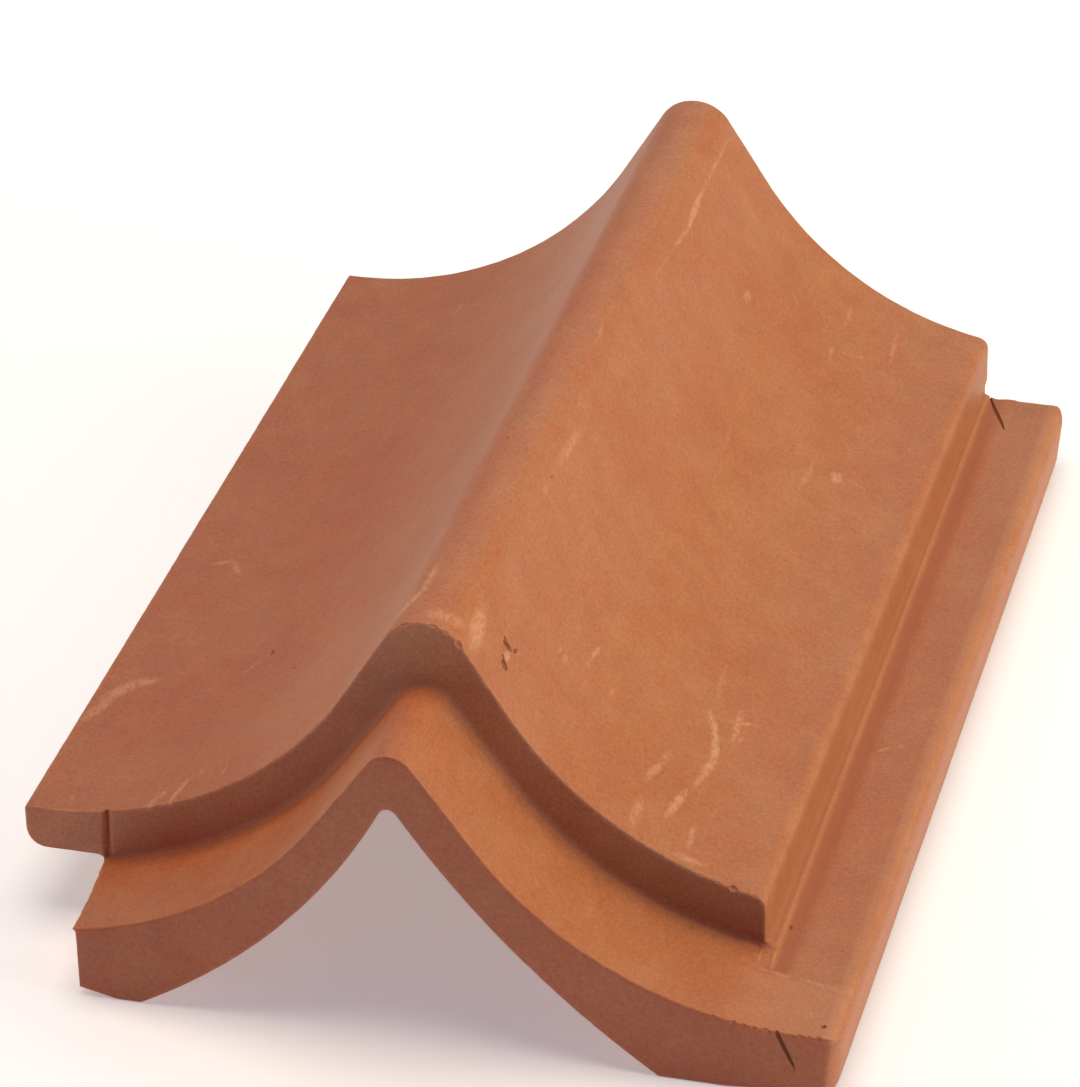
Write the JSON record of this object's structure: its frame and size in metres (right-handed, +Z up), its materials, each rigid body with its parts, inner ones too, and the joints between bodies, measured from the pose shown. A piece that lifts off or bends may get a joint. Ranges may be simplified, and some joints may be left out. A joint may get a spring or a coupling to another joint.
{
  "type": "clay ridge tile",
  "caption": "Pressed clay ridge tile with a rounded crest, hollow wings, a front tongue, a side ledge, an overhanging lip and an open arch below.",
  "frame": {"origin": "on the plane that the feet stand on, below the crest line and at mid-length, which is within 3 mm of the centre of the tile's outer box in plan", "axes": "+Y along the crest, from the tongue at the front to the plain back end; +X across, towards the ledge; +Z up"},
  "size_m": [0.272, 0.4, 0.1274],
  "materials": {
    "terracotta": "unglazed fired clay, orange-tan with pale scuffs, matt"
  },
  "bodies": {
    "root": {"ridge_tile": "terracotta"}
  },
  "joints": []
}
